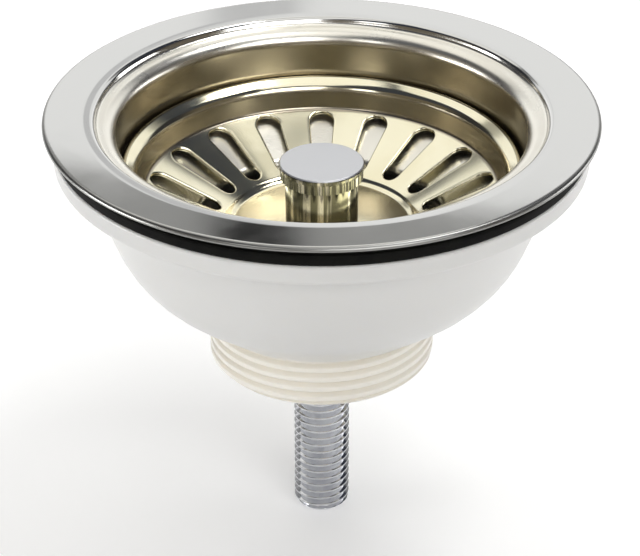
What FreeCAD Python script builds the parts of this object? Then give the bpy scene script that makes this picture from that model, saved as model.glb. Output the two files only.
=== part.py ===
import FreeCAD, Part
import math
import os

from FreeCAD import Vector

# Basket strainer waste for a kitchen sink, in millimetres and degrees.
# +Z points up along the drain's axis. The origin is on the axis, at the underside of the flange.

# Flange and dish, one pressing
flange_gauge = 1.0
dish_radius = 42.0
lip_width = 3.6
step_width = 1.2
step_drop = 1.4
step_round = 1.2
flat_width = 10.2
flange_edge_round = 0.8
lip_round = 3.0
dish_fold_round = 3.0
shoulder_round = 2.0
sump_radius = 26.0
seat_width = 5.0
basin_lip_round = 1.4
basin_round = 1.5
drain_slot_count = 6
drain_slot_width = 5.4
drain_slot_bridge = 2.0
drain_slot_margin = 0.9

# Washers that the sink's sheet goes between
flange_seal_width = 5.8
flange_seal_thickness = 1.8
gasket_width = 6.2
gasket_thickness = 2.4

# Drain body
rim_height = 4.3
rim_round = 1.1
rim_overhang = 5.4
bowl_taper = 8.5
bowl_knee_height = 11.7
bowl_knee_round = 27.0
bowl_foot_ledge = 2.0
bowl_wall = 2.6
outlet_radius = 23.9
outlet_wall = 3.6
outlet_length = 12.4
outlet_chamfer = 1.2
outlet_thread_pitch = 2.309
outlet_thread_depth = 1.35
hub_wall = 2.3
hub_recess = 0.8
rib_count = 4
rib_thickness = 2.6
rib_top_recess = 3.0
rib_end_recess = 1.0
rib_root = 0.6
insert_wall = 2.0
insert_cover = 2.0

# Bolt through the dish and the hub
bolt_radius = 6.0
bolt_stud_length = 40.2
bolt_end_chamfer = 1.9
bolt_thread_pitch = 1.75
bolt_thread_depth = 1.05
thread_crest_share = 0.2
bolt_head_overhang = 4.0
bolt_head_height = 3.2
bolt_slot_width = 2.2
bolt_slot_depth = 1.3
bolt_washer_overhang = 1.2
bolt_washer_thickness = 1.2
bolt_seal_overhang = 0.6
bolt_seal_thickness = 1.2

# Basket
basket_gauge = 0.8
basket_rim_depth = 10.7
basket_rim_skirt = 1.9
basket_rim_round = 0.9
basket_rim_width = 3.4
basket_mouth_round = 2.7
basket_wall_height = 6.2
basket_wall_taper = 0.7
basket_fold_round = 1.0
basket_cone_width = 17.0
basket_cone_drop = 7.2
basket_ring_width = 1.0
basket_ring_drop = 1.0
basket_ring_round = 2.2
slot_count = 18
slot_first_angle = 90.0
slot_outer_margin = 0.65
slot_inner_margin = 1.4
slot_outer_width = 5.2
slot_inner_width = 3.6

# Knob
knob_stud_radius = 2.5
knob_stud_chamfer = 0.4
knob_stud_cap_length = 2.6
knob_overhang = 0.3
knob_disc_thickness = 1.1
knob_bevel = 0.35
collar_radius = 8.65
collar_height = 2.3
collar_flute_count = 36
collar_flute_depth = 0.25
post_inset = 1.05
post_height = 11.0

# Stopper, and the peg that pushes into the bolt
stopper_web = 2.5
stopper_neck_margin = 1.7
stopper_brow_drop = 1.8
stopper_foot_height = 2.1
stopper_foot_inset = 1.7
seal_plate_inset = 2.5
seal_plate_thickness = 1.0
peg_nut_wall = 3.0
peg_nut_height = 3.0
peg_thread_length = 5.0
peg_wall = 0.9
peg_length = 13.6
peg_tip_round = 1.6
ring_section_radius = 0.75
ring_from_tip = 5.0

# Gaps
washer_gap = 2.0
basket_gap = 0.7
dish_gap = 1.2
stopper_gap = 1.4
head_gap = 0.3
hub_gap = 2.7
bowl_foot_gap = 4.1
bore_gap = 0.4
bore_end_gap = 3.0
fit_gap = 0.05
end_gap = 0.1
hole_gap = 0.2
overrun = 5.0

FULL_TURN = 360.0
HEX_SIDES = 6
AXIS = Vector(0, 0, 1)
ORIGIN = Vector(0, 0, 0)

# Radii that follow
lip_radius = dish_radius + lip_width
flat_radius = lip_radius + step_width
flange_radius = flat_radius + flat_width
basin_radius = sump_radius - seat_width
drain_slot_outer = basin_radius - basin_round - drain_slot_margin
drain_slot_inner = drain_slot_outer - drain_slot_width
washer_inner_radius = flat_radius + washer_gap
flange_seal_radius = washer_inner_radius + flange_seal_width
gasket_radius = washer_inner_radius + gasket_width
bowl_neck_radius = gasket_radius - rim_overhang
bowl_knee_radius = bowl_neck_radius - bowl_taper
bowl_foot_radius = outlet_radius + bowl_foot_ledge
outlet_bore_radius = outlet_radius - outlet_wall
bolt_hole_radius = bolt_radius + hole_gap
bolt_head_radius = bolt_radius + bolt_head_overhang
bolt_washer_radius = bolt_head_radius + bolt_washer_overhang
bolt_seal_radius = bolt_head_radius + bolt_seal_overhang
insert_flats = 2 * (bolt_radius + insert_wall)
hub_radius = insert_flats / 2 / math.cos(math.pi / HEX_SIDES) + hub_wall
basket_rim_radius = dish_radius - basket_gap
basket_mouth_radius = basket_rim_radius - basket_rim_width
basket_fold_radius = basket_mouth_radius - basket_wall_taper
basket_ring_radius = basket_fold_radius - basket_cone_width
basket_floor_radius = basket_ring_radius - basket_ring_width
slot_outer_radius = basket_fold_radius - slot_outer_margin
slot_inner_radius = basket_ring_radius + slot_inner_margin
knob_radius = collar_radius + knob_overhang
post_radius = collar_radius - post_inset
stud_hole_radius = knob_stud_radius + fit_gap
stopper_radius = sump_radius - stopper_gap
stopper_neck_radius = basket_floor_radius - stopper_neck_margin
stopper_foot_radius = basin_radius + stopper_foot_inset
seal_plate_radius = stopper_neck_radius - seal_plate_inset
peg_flats = 2 * (knob_stud_radius + peg_nut_wall)
peg_radius = knob_stud_radius + peg_wall
bolt_bore_radius = peg_radius + bore_gap
ring_centre_radius = bolt_bore_radius - fit_gap - ring_section_radius
ring_groove_radius = ring_centre_radius - ring_section_radius - fit_gap

# Heights that follow, from the flange to the basket's floor
flange_top = flange_gauge
lip_top = flange_top - step_drop
flange_seal_low = -flange_seal_thickness
gasket_low = flange_seal_low - gasket_thickness
rim_low = gasket_low - rim_height
basket_rim_top = -basket_rim_depth
basket_fold_height = basket_rim_top - basket_wall_height
basket_ring_height = basket_fold_height - basket_cone_drop
basket_floor = basket_ring_height - basket_ring_drop
collar_low = basket_floor + post_height
collar_top = collar_low + collar_height
knob_top = collar_top + knob_disc_thickness
knob_stud_top = collar_low + knob_stud_cap_length

# Heights that follow, from the basket's floor down to the bolt's end
stopper_top = basket_floor - basket_gauge
stopper_low = stopper_top - stopper_web
seat_top = stopper_low - stopper_foot_height
seal_plate_low = stopper_low - seal_plate_thickness
peg_nut_low = seal_plate_low - peg_nut_height
peg_end = peg_nut_low - peg_length
knob_stud_low = seal_plate_low - peg_thread_length
ring_height = peg_end + ring_from_tip
bolt_head_top = peg_nut_low - head_gap
bolt_washer_top = bolt_head_top - bolt_head_height
bolt_seal_top = bolt_washer_top - bolt_washer_thickness
bolt_bore_end = peg_end - bore_end_gap
basin_floor = bolt_seal_top - bolt_seal_thickness
basin_low = basin_floor - flange_gauge
bowl_foot = basin_low - bowl_foot_gap
bowl_knee = bowl_foot + bowl_knee_height
outlet_end = bowl_foot - outlet_length
hub_top = basin_low - hub_gap
hub_end = outlet_end + hub_recess
rib_top = hub_top - rib_top_recess
rib_end = hub_end + rib_end_recess
insert_top = hub_top - insert_cover
bolt_end = outlet_end - bolt_stud_length


def spot(radius, height):
    """Point of a profile at a radius from the axis and a height."""
    return Vector(radius, 0, height)


def around(radius, degrees, height):
    """Point at a radius, an angle about the axis and a height."""
    angle = math.radians(degrees)
    return Vector(radius * math.cos(angle), radius * math.sin(angle), height)


def unit(start, end):
    """Direction from one point to another."""
    return (end - start).normalize()


def left_normal(direction):
    """Normal on the left of a direction in the profile plane."""
    return Vector(-direction.z, 0, direction.x)


def rounded_wire(corners):
    """Closed profile through (point, rounding) corners, with tangent arcs at the rounded ones."""
    points = [point for point, _ in corners]
    arrivals, middles, departures = [], [], []
    for index, (point, rounding) in enumerate(corners):
        back = unit(point, points[index - 1])
        ahead = unit(point, points[(index + 1) % len(points)])
        half = back.getAngle(ahead) / 2
        run = rounding / math.tan(half)
        arrivals.append(point + back * run)
        departures.append(point + ahead * run)
        inward = back + ahead
        reach = rounding / math.sin(half) - rounding
        middles.append(point + inward.normalize() * reach if rounding else point)
    edges = []
    for index, (_, rounding) in enumerate(corners):
        edges.append(Part.LineSegment(departures[index - 1], arrivals[index]).toShape())
        if rounding:
            edges.append(Part.Arc(arrivals[index], middles[index], departures[index]).toShape())
    return Part.Wire(edges)


def turned(corners):
    """Solid of revolution of a closed profile."""
    return Part.Face(rounded_wire(corners)).revolve(ORIGIN, AXIS, FULL_TURN)


def offset_corners(corners, distance):
    """Open path moved to its left by a distance, with its roundings kept parallel."""
    points = [point for point, _ in corners]
    headings = [unit(a, b) for a, b in zip(points, points[1:])]
    moved = []
    for index, (point, rounding) in enumerate(corners):
        before = headings[max(index - 1, 0)]
        after = headings[min(index, len(headings) - 1)]
        normals = left_normal(before) + left_normal(after)
        share = distance / (1 + left_normal(before).dot(left_normal(after)))
        turn = before.x * after.z - before.z * after.x
        moved.append((point + normals * share, rounding - math.copysign(distance, turn) if rounding else 0))
    return moved


def pressed(corners, gauge, edge_round=0):
    """Sheet pressing: an open path on its face, with its gauge laid to the left and its first edge rounded."""
    face = [(corners[0][0], edge_round)] + corners[1:]
    return turned(face + offset_corners(corners, gauge)[::-1])


def thread_rings(radius, top, low, pitch, depth):
    """Corners of a thread's grooves down a shaft, as level rings set evenly about the shaft's middle."""
    pairs = int((top - low) / 2 / pitch)
    half_width = pitch * (1 - thread_crest_share) / 2
    corners = []
    for index in range(2 * pairs):
        height = (top + low) / 2 + (pairs - index - 1 / 2) * pitch
        corners.append((spot(radius, height + half_width), 0))
        corners.append((spot(radius - depth, height), 0))
        corners.append((spot(radius, height - half_width), 0))
    return corners


def ring(inner, outer, low, high):
    """Flat washer or sleeve around the axis."""
    return turned([(spot(inner, low), 0), (spot(outer, low), 0), (spot(outer, high), 0), (spot(inner, high), 0)])


def bar(radius, low, high):
    """Round bar on the axis."""
    return Part.makeCylinder(radius, high - low, spot(0, low), AXIS)


def prism(outline, low, high):
    """Upright prism over a list of (radius, degrees)."""
    points = [around(radius, degrees, low) for radius, degrees in outline]
    face = Part.Face(Part.makePolygon(points + points[:1]))
    return face.extrude(Vector(0, 0, high - low))


def hexagon(flats, low, high):
    """Upright hexagon bar, given across its flats."""
    corner_radius = flats / 2 / math.cos(math.pi / HEX_SIDES)
    step = FULL_TURN / HEX_SIDES
    return prism([(corner_radius, index * step) for index in range(HEX_SIDES)], low, high)


def at_height(start, end, height):
    """Point on the line through two points, at a height."""
    share = (height - start.z) / (end.z - start.z)
    return start + (end - start) * share


def at_radius(start, end, radius):
    """Point on the line through two points, at a radius."""
    share = (radius - start.x) / (end.x - start.x)
    return start + (end - start) * share


def basket_cone():
    """Ends of the basket's slotted cone, at the fold below its wall and at the ring in its floor."""
    return spot(basket_fold_radius, basket_fold_height), spot(basket_ring_radius, basket_ring_height)


def dish_cone():
    """Two points of the dish's cone, which follows the basket's a gap below it."""
    top, foot = basket_cone()
    below = left_normal(unit(top, foot)) * (basket_gauge + dish_gap)
    return top + below, foot + below


def drain_slot(degrees):
    """Kidney-shaped cutter for one opening in the basin's floor."""
    middle = (drain_slot_outer + drain_slot_inner) / 2
    cap = math.degrees(drain_slot_width / 2 / middle)
    bridge = math.degrees(drain_slot_bridge / middle)
    half_span = (FULL_TURN / drain_slot_count - bridge) / 2 - cap
    start = degrees - half_span
    end = degrees + half_span
    low = basin_low - overrun
    sides = [
        (around(drain_slot_outer, start, low), around(drain_slot_outer, degrees, low)),
        (around(drain_slot_outer, end, low), around(middle, end + cap, low)),
        (around(drain_slot_inner, end, low), around(drain_slot_inner, degrees, low)),
        (around(drain_slot_inner, start, low), around(middle, start - cap, low)),
    ]
    corners = [corner for corner, _ in sides]
    arcs = [Part.Arc(corner, waypoint, following).toShape()
            for (corner, waypoint), following in zip(sides, corners[1:] + corners[:1])]
    return Part.Face(Part.Wire(arcs)).extrude(Vector(0, 0, flange_gauge + 2 * overrun))


def flange_dish():
    """Flange with its step, and the dish with its cone, seat and drained basin."""
    upper, lower = dish_cone()
    dish = pressed([
        (spot(flange_radius, flange_top), 0),
        (spot(flat_radius, flange_top), step_round),
        (spot(lip_radius, lip_top), step_round),
        (spot(dish_radius, lip_top), lip_round),
        (at_radius(upper, lower, dish_radius), dish_fold_round),
        (at_radius(upper, lower, sump_radius), shoulder_round),
        (spot(sump_radius, seat_top), 0),
        (spot(basin_radius, seat_top), basin_lip_round),
        (spot(basin_radius, basin_floor), basin_round),
        (spot(bolt_hole_radius, basin_floor), 0),
    ], flange_gauge, flange_edge_round)
    step = FULL_TURN / drain_slot_count
    return dish.cut([drain_slot(index * step) for index in range(drain_slot_count)])


def flange_seal():
    """Thin washer under the flange."""
    return ring(washer_inner_radius, flange_seal_radius, flange_seal_low, 0)


def body_gasket():
    """Thick washer on the body's rim."""
    return ring(washer_inner_radius, gasket_radius, gasket_low, flange_seal_low)


def bowl_profile():
    """Outline of the body's rim, bowl and outlet, the bowl with a wall of even thickness."""
    neck = spot(bowl_neck_radius, rim_low)
    knee = spot(bowl_knee_radius, bowl_knee)
    foot = spot(bowl_foot_radius, bowl_foot)
    outside = [(neck, 0), (knee, bowl_knee_round), (foot, 0)]
    (inner_neck, _), (inner_knee, inner_round), (inner_foot, _) = offset_corners(outside, -bowl_wall)
    thread_low = outlet_end + outlet_chamfer
    thread = thread_rings(outlet_radius, bowl_foot, thread_low, outlet_thread_pitch, outlet_thread_depth)
    return [
        (at_height(inner_neck, inner_knee, gasket_low), 0),
        (spot(gasket_radius, gasket_low), 0),
        (spot(gasket_radius, rim_low), rim_round),
        (neck, 0),
        (knee, bowl_knee_round),
        (foot, 0),
        (spot(outlet_radius, bowl_foot), 0),
        *thread,
        (spot(outlet_radius, thread_low), 0),
        (spot(outlet_radius - outlet_chamfer, outlet_end), 0),
        (spot(outlet_bore_radius, outlet_end), 0),
        (at_radius(inner_knee, inner_foot, outlet_bore_radius), 0),
        (inner_knee, inner_round),
    ]


def rib(degrees):
    """Rib from the hub to the wall of the outlet."""
    block = Part.makeBox(outlet_bore_radius + rib_root, rib_thickness, rib_top - rib_end,
                         Vector(0, -rib_thickness / 2, rib_end))
    block.rotate(ORIGIN, AXIS, degrees)
    return block


def drain_body():
    """Moulded bowl with its rim, outlet, hub and ribs."""
    hub = bar(hub_radius, hub_end, hub_top)
    ribs = [rib(index * FULL_TURN / rib_count) for index in range(rib_count)]
    pocket = hexagon(insert_flats, hub_end - overrun, insert_top)
    shaft = bar(bolt_hole_radius, hub_end - overrun, hub_top + overrun)
    return turned(bowl_profile()).fuse([hub] + ribs).cut([pocket, shaft]).removeSplitter()


def thread_insert():
    """Hexagonal bush held in the hub, with the thread's bore."""
    bush = hexagon(insert_flats - 2 * fit_gap, hub_end, insert_top)
    return bush.cut(bar(bolt_radius + fit_gap, hub_end - overrun, insert_top + overrun))


def clamp_bolt():
    """Slotted bolt, hollow from its head, with a long threaded stud."""
    thread_low = bolt_end + bolt_end_chamfer
    solid = turned([
        (spot(0, bolt_head_top), 0),
        (spot(bolt_head_radius, bolt_head_top), 0),
        (spot(bolt_head_radius, bolt_washer_top), 0),
        (spot(bolt_radius, bolt_washer_top), 0),
        *thread_rings(bolt_radius, outlet_end, thread_low, bolt_thread_pitch, bolt_thread_depth),
        (spot(bolt_radius, thread_low), 0),
        (spot(bolt_radius - bolt_end_chamfer, bolt_end), 0),
        (spot(0, bolt_end), 0),
    ])
    bore = turned([
        (spot(0, bolt_head_top + overrun), 0),
        (spot(bolt_bore_radius, bolt_head_top + overrun), 0),
        (spot(bolt_bore_radius, bolt_bore_end), 0),
        (spot(0, bolt_bore_end - bolt_bore_radius), 0),
    ])
    reach = bolt_head_radius + overrun
    slot = Part.makeBox(2 * reach, bolt_slot_width, bolt_slot_depth + overrun,
                        Vector(-reach, -bolt_slot_width / 2, bolt_head_top - bolt_slot_depth))
    return solid.cut([bore, slot])


def bolt_washer():
    """Steel washer under the bolt's head."""
    return ring(bolt_hole_radius, bolt_washer_radius, bolt_seal_top, bolt_washer_top)


def bolt_seal():
    """Soft washer on the basin's floor."""
    return ring(bolt_hole_radius, bolt_seal_radius, basin_floor, bolt_seal_top)


def basket_slot(degrees):
    """Cutter for one slot: tapered, with round ends."""
    outer_half = slot_outer_width / 2
    inner_half = slot_inner_width / 2
    outer_start = slot_outer_radius - outer_half
    inner_start = slot_inner_radius + inner_half
    low = basket_floor - overrun
    outer_right = Vector(outer_start, -outer_half, low)
    outer_left = Vector(outer_start, outer_half, low)
    inner_left = Vector(inner_start, inner_half, low)
    inner_right = Vector(inner_start, -inner_half, low)
    edges = [
        Part.Arc(outer_right, spot(slot_outer_radius, low), outer_left),
        Part.LineSegment(outer_left, inner_left),
        Part.Arc(inner_left, spot(slot_inner_radius, low), inner_right),
        Part.LineSegment(inner_right, outer_right),
    ]
    face = Part.Face(Part.Wire([edge.toShape() for edge in edges]))
    cutter = face.extrude(Vector(0, 0, basket_rim_top - low))
    cutter.rotate(ORIGIN, AXIS, degrees)
    return cutter


def basket_cup():
    """Pressed basket with a rolled rim, a slotted cone and a stepped floor."""
    cone_top, cone_foot = basket_cone()
    cup = pressed([
        (spot(basket_rim_radius, basket_rim_top - basket_rim_skirt), 0),
        (spot(basket_rim_radius, basket_rim_top), basket_rim_round),
        (spot(basket_mouth_radius, basket_rim_top), basket_mouth_round),
        (cone_top, basket_fold_round),
        (cone_foot, basket_ring_round),
        (spot(basket_floor_radius, basket_floor), basket_ring_round),
        (spot(knob_stud_radius + hole_gap, basket_floor), 0),
    ], basket_gauge)
    step = FULL_TURN / slot_count
    return cup.cut([basket_slot(slot_first_angle + index * step) for index in range(slot_count)])


def knob_cap():
    """Top of the knob: a bevelled disc over a fluted collar."""
    disc = turned([
        (spot(0, collar_top), 0),
        (spot(knob_radius, collar_top), 0),
        (spot(knob_radius, knob_top - knob_bevel), 0),
        (spot(knob_radius - knob_bevel, knob_top), 0),
        (spot(0, knob_top), 0),
    ])
    step = FULL_TURN / collar_flute_count
    outline = []
    for index in range(collar_flute_count):
        outline.append((collar_radius, index * step))
        outline.append((collar_radius - collar_flute_depth, (index + 1 / 2) * step))
    collar = prism(outline, collar_low, collar_top)
    hole = bar(stud_hole_radius, collar_low - overrun, knob_stud_top)
    return disc.fuse(collar).cut(hole).removeSplitter()


def knob_post():
    """Post of the knob, standing on the basket's floor."""
    return ring(stud_hole_radius, post_radius, basket_floor, collar_low)


def knob_stud():
    """Threaded rod from the knob's cap to the peg."""
    tip_radius = knob_stud_radius - knob_stud_chamfer
    return turned([
        (spot(0, knob_stud_low), 0),
        (spot(tip_radius, knob_stud_low), 0),
        (spot(knob_stud_radius, knob_stud_low + knob_stud_chamfer), 0),
        (spot(knob_stud_radius, knob_stud_top - knob_stud_chamfer), 0),
        (spot(tip_radius, knob_stud_top), 0),
        (spot(0, knob_stud_top), 0),
    ])


def stopper_seal():
    """Rubber stopper: a web under the basket's floor and a foot on the dish's seat."""
    return turned([
        (spot(stud_hole_radius, stopper_low), 0),
        (spot(stopper_neck_radius, stopper_low), 0),
        (spot(stopper_foot_radius, seat_top), 0),
        (spot(stopper_radius, seat_top), 0),
        (spot(stopper_radius, stopper_top - stopper_brow_drop), 0),
        (spot(stopper_neck_radius, stopper_top), 0),
        (spot(stud_hole_radius, stopper_top), 0),
    ])


def seal_plate():
    """Steel disc under the stopper's web."""
    return ring(stud_hole_radius, seal_plate_radius, seal_plate_low, stopper_low)


def stem_peg():
    """Hexagonal nut with a peg that pushes into the bolt, grooved for a rubber ring."""
    nut = hexagon(peg_flats, peg_nut_low, seal_plate_low)
    groove_top = ring_height + ring_section_radius + end_gap
    groove_low = ring_height - ring_section_radius - end_gap
    peg = turned([
        (spot(0, seal_plate_low), 0),
        (spot(peg_radius, seal_plate_low), 0),
        (spot(peg_radius, groove_top), 0),
        (spot(ring_groove_radius, groove_top), 0),
        (spot(ring_groove_radius, groove_low), 0),
        (spot(peg_radius, groove_low), 0),
        (spot(peg_radius, peg_end), peg_tip_round),
        (spot(0, peg_end), 0),
    ])
    thread = bar(stud_hole_radius, knob_stud_low - end_gap, seal_plate_low + overrun)
    return nut.fuse(peg).cut(thread).removeSplitter()


def catch_o_ring():
    """Rubber ring in the peg's groove, a fit in the bolt's bore."""
    return Part.makeTorus(ring_centre_radius, ring_section_radius, spot(0, ring_height), AXIS)


def main():
    """Build each piece and write it to its own file."""
    pieces = [flange_dish, flange_seal, body_gasket, drain_body, thread_insert, clamp_bolt, bolt_washer,
              bolt_seal, basket_cup, knob_cap, knob_post, knob_stud, stopper_seal, seal_plate, stem_peg,
              catch_o_ring]
    os.makedirs("parts", exist_ok=True)
    for piece in pieces:
        shape = piece()
        print(piece.__name__, shape.isValid(), len(shape.Solids), round(shape.Volume))
        shape.exportStep(os.path.join("parts", piece.__name__ + ".step"))


main()
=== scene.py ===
"""Looks of a kitchen sink's basket strainer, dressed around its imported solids.

Lengths are in metres, in the solids' own frame: +Z points up along the drain's axis, and the origin is on the axis
at the underside of the flange.
"""

import logging
import math
from dataclasses import dataclass, field
from enum import Enum
from typing import Iterable, Sequence

import bmesh
import bpy
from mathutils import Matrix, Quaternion, Vector

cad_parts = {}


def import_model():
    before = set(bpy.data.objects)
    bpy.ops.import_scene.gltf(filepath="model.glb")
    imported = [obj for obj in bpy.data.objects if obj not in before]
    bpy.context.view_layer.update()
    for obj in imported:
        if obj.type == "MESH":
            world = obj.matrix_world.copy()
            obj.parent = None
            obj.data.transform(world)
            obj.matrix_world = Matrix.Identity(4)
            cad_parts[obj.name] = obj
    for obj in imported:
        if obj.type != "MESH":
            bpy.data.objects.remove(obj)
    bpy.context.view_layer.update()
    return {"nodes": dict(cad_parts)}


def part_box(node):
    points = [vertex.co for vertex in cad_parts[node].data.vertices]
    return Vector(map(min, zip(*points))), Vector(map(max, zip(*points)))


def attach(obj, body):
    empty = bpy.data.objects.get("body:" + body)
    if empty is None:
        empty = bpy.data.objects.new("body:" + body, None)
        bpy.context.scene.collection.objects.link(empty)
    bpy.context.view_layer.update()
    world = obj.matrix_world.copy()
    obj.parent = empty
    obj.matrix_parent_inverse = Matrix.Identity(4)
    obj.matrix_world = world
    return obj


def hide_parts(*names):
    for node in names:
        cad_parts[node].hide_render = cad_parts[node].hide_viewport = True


LOG = logging.getLogger("basket_strainer")

MM = 0.001
MICRON = 0.000001
SEGMENTS = 288
HEX_SEGMENTS = 144
SMALL_SEGMENTS = 96
HEX_SIDES = 6
ARC_STEP = math.radians(6.0)
ARC_MIN_STEPS = 3
BEVEL_STEPS = 3
BEVEL_PROFILE = 0.5
CREASE_ANGLE = math.radians(38.0)
WELD = 2 * MICRON
HOLD = 0.25 * MM
HOLD_MIN_LEG = 4 * HOLD
EVERYWHERE = (-2.0, -1.0)
MIX_INPUTS = (0, 6, 7)
MIX_RESULT = 2

Colour = tuple[float, float, float]
Span = tuple[float, float]
Piece = bpy.types.Object
Socket = bpy.types.NodeSocket


@dataclass(frozen=True)
class Corner:
    """Corner of a profile.

    The radius and the height place it. Rounding is the radius of its arc, and steps divides the leg that follows.
    A corner with flats has a hexagon's half width for its radius. On a leg with a climb the rows rise by that much
    in each turn, and steps is their number in one turn.
    """

    radius: float
    height: float
    rounding: float = 0.0
    steps: int = 1
    flats: bool = False
    climb: float = 0.0


@dataclass(frozen=True)
class Sample:
    """Point of a traced profile, with the normal on the left of the path.

    A point with a climb rises by that much in each turn, as far as its span of heights lets it.
    """

    radius: float
    height: float
    normal: Vector
    flats: bool = False
    climb: float = 0.0
    span: Span = (-math.inf, math.inf)

    def at(self, angle: float) -> Vector:
        """Place the point at an angle about the axis.

        Args:
            angle: The angle.

        Returns:
            The point.
        """
        radius = hexagon_reach(self.radius, angle) if self.flats else self.radius
        height = self.height + self.climb * angle / math.tau
        return around(radius, angle, min(max(height, self.span[0]), self.span[1]))

    def moved(self, distance: float) -> "Sample":
        """Return the sample moved along its normal."""
        return Sample(self.radius + self.normal.x * distance, self.height + self.normal.y * distance,
                      self.normal, self.flats)


def left_of(heading: Vector) -> Vector:
    """Return the normal on the left of a heading in the profile plane."""
    return Vector((-heading.y, heading.x))


def corner_samples(corner: Corner, before: Vector, after: Vector) -> list[Sample]:
    """Trace one corner of a profile.

    Args:
        corner: The corner.
        before: Heading of the leg that arrives.
        after: Heading of the leg that leaves.

    Returns:
        The samples of the corner's arc, or one sample where it is sharp.
    """
    turn = math.atan2(before.cross(after), before.dot(after))
    here = Vector((corner.radius, corner.height))
    if not corner.rounding or not turn:
        mitre = left_of(before) + left_of(after)
        mitre /= 1 + before.dot(after)
        return [Sample(here.x, here.y, mitre, corner.flats)]
    rounding = math.copysign(corner.rounding, turn)
    start = here - before * corner.rounding * math.tan(abs(turn) / 2)
    centre = start + left_of(before) * rounding
    count = max(ARC_MIN_STEPS, math.ceil(abs(turn) / ARC_STEP))
    samples = []
    for index in range(count + 1):
        angle = turn * index / count
        normal = left_of(before * math.cos(angle) + left_of(before) * math.sin(angle))
        point = centre - normal * rounding
        samples.append(Sample(point.x, point.y, normal, corner.flats))
    return samples


def leg_samples(corner: Corner, start: Sample, end: Sample) -> list[Sample]:
    """Trace the leg that follows a corner.

    A plain leg gets a point near each end, which keeps its face flat between its rounded corners.

    Args:
        corner: The corner.
        start: The last point of the corner.
        end: The first point of the next corner.

    Returns:
        The points between the two.
    """
    leg = Vector((end.radius - start.radius, end.height - start.height))
    normal = left_of(leg.normalized())
    if corner.climb:
        spacing = corner.climb / corner.steps
        first = math.ceil(start.height / spacing - 1 / 2)
        last = math.floor((end.height - corner.climb) / spacing - 1 / 2)
        span = (end.height, start.height)
        return [Sample(start.radius, (number + 1 / 2) * spacing, normal, False, corner.climb, span)
                for number in range(first, last - 1, -1)]
    shares = []
    if corner.steps > 1:
        shares = [step / corner.steps for step in range(1, corner.steps)]
    elif leg.length > HOLD_MIN_LEG and start.flats == end.flats:
        shares = [HOLD / leg.length, 1 - HOLD / leg.length]
    return [Sample(start.radius + leg.x * share, start.height + leg.y * share, normal, start.flats)
            for share in shares]


def trace(corners: Sequence[Corner], closed: bool) -> list[list[Sample]]:
    """Trace a profile.

    Args:
        corners: The corners in order.
        closed: Whether the last corner joins the first.

    Returns:
        The samples of each corner and of the leg that follows it.
    """
    spots = [Vector((corner.radius, corner.height)) for corner in corners]
    headings = [(end - start).normalized() for start, end in zip(spots, spots[1:] + spots[:1])]
    last = len(corners) - 1
    arcs = []
    for index, corner in enumerate(corners):
        before = headings[index - 1] if closed or index > 0 else headings[index]
        after = headings[index] if closed or index < last else before
        arcs.append(corner_samples(corner, before, after))
    groups = [arc + leg_samples(corner, arc[-1], following[0])
              for corner, arc, following in zip(corners, arcs, arcs[1:] + arcs[:1])]
    return groups if closed else groups[:-1] + arcs[-1:]


def around(radius: float, angle: float, height: float) -> Vector:
    """Return the point at a radius, an angle about the axis and a height."""
    return Vector((radius * math.cos(angle), radius * math.sin(angle), height))


def hexagon_reach(half_width: float, angle: float) -> float:
    """Return how far a hexagon reaches at an angle, with a corner at angle zero."""
    sector = math.tau / HEX_SIDES
    return half_width / math.cos(angle % sector - sector / 2)


class Draft:
    """Points and faces of a mesh in the making."""

    def __init__(self) -> None:
        """Start with no points."""
        self.points: list[Vector] = []
        self.faces: list[list[int]] = []

    def row(self, points: Iterable[Vector]) -> list[int]:
        """Add points.

        Args:
            points: The points.

        Returns:
            Their numbers.
        """
        first = len(self.points)
        self.points.extend(points)
        return list(range(first, len(self.points)))

    def bridge(self, near: Sequence[int], far: Sequence[int], closed: bool) -> None:
        """Join two rows of points by quads.

        Args:
            near: The first row.
            far: The second row, as long as the first.
            closed: Whether the rows are loops.
        """
        for index in range(len(near) if closed else len(near) - 1):
            after = (index + 1) % len(near)
            self.faces.append([near[index], near[after], far[after], far[index]])

    def turn(self, samples: Sequence[Sample], angles: Sequence[float]) -> list[list[int]]:
        """Sweep samples about the axis and return a row of point numbers for each."""
        return [self.row(sample.at(angle) for angle in angles) for sample in samples]

    def piece(self, name: str) -> Piece:
        """Make an object of the draft.

        Args:
            name: The piece's name.

        Returns:
            The piece.
        """
        mesh = bpy.data.meshes.new(name)
        mesh.from_pydata(self.points, [], self.faces)
        return new_object(name, mesh)


def new_object(name: str, data: bpy.types.ID) -> Piece:
    """Make an object of its data and link it to the scene.

    Args:
        name: The piece's name.
        data: Its mesh, lamp or camera.

    Returns:
        The object.
    """
    made = bpy.data.objects.new(name, data)
    bpy.context.scene.collection.objects.link(made)
    return made


def apply_modifier(piece: Piece, modifier: bpy.types.Modifier) -> Piece:
    """Keep the result of a modifier as a piece's plain mesh.

    Args:
        piece: The piece.
        modifier: Its one modifier.

    Returns:
        The piece.
    """
    graph = bpy.context.evaluated_depsgraph_get()
    mesh = bpy.data.meshes.new_from_object(piece.evaluated_get(graph), depsgraph=graph)
    piece.modifiers.remove(modifier)
    draft, piece.data = piece.data, mesh
    bpy.data.meshes.remove(draft)
    mesh.name = piece.name
    return piece


def even_angles(count: int, sweep: float = math.tau, start: float = 0.0) -> list[float]:
    """Return the starts of equal steps through a sweep."""
    return [start + sweep * index / count for index in range(count)]


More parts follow.
